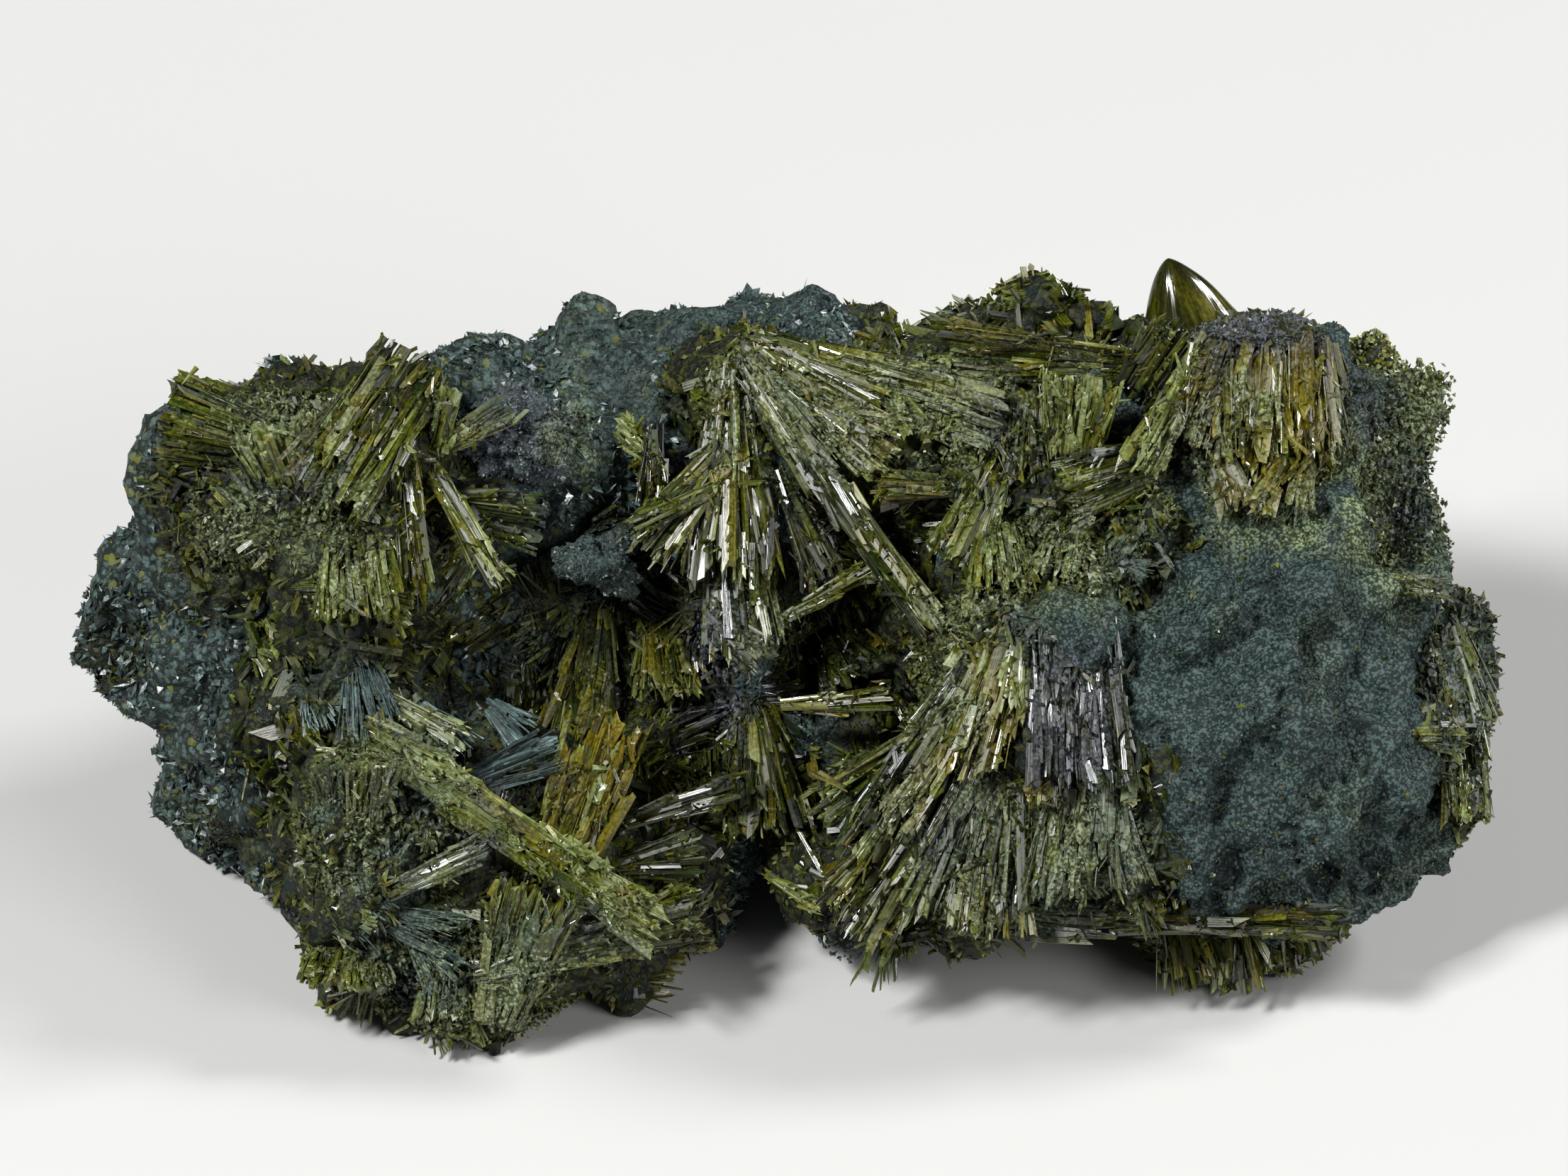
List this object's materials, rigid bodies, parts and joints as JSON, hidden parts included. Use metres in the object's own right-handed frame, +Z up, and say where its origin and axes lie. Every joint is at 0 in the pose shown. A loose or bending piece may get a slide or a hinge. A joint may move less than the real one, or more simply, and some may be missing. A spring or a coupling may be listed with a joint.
{
  "type": "epidote crystal cluster",
  "caption": "Irregular hand specimen of striated olive-green epidote fans and blades grown over grey-green chlorite rock, with a dark crystal-lined hollow in its face.",
  "frame": {"origin": "centre of the specimen's box, on the plane it rests on", "axes": "+X along its length to the viewer's right, -Y towards the viewer, +Z up"},
  "size_m": [0.0424, 0.0216, 0.0182],
  "materials": {
    "epidote": "vitreous, striated lengthwise, olive to yellow-green, a little light passing through",
    "dark_crust": "small dark glossy crystals",
    "host_rock": "matt granular, dusty grey-green with dark pits and small sparkles",
    "chlorite_dust": "matt, soft dusty green-grey aggregate",
    "actinolite_fibre": "silky teal-grey parallel fibres"
  },
  "bodies": {
    "root": {"chlorite_clump_upper": "chlorite_dust", "chlorite_clump_centre": "chlorite_dust", "actinolite_tuft": "actinolite_fibre", "epidote_left_sheaves": "epidote", "epidote_main_sheaves": "epidote", "epidote_upper_block": "epidote", "epidote_back_plate": "epidote", "epidote_right_rim": "epidote", "epidote_foot": "epidote", "hollow_crystals": "dark_crust", "matrix_rock": "host_rock"}
  },
  "joints": []
}
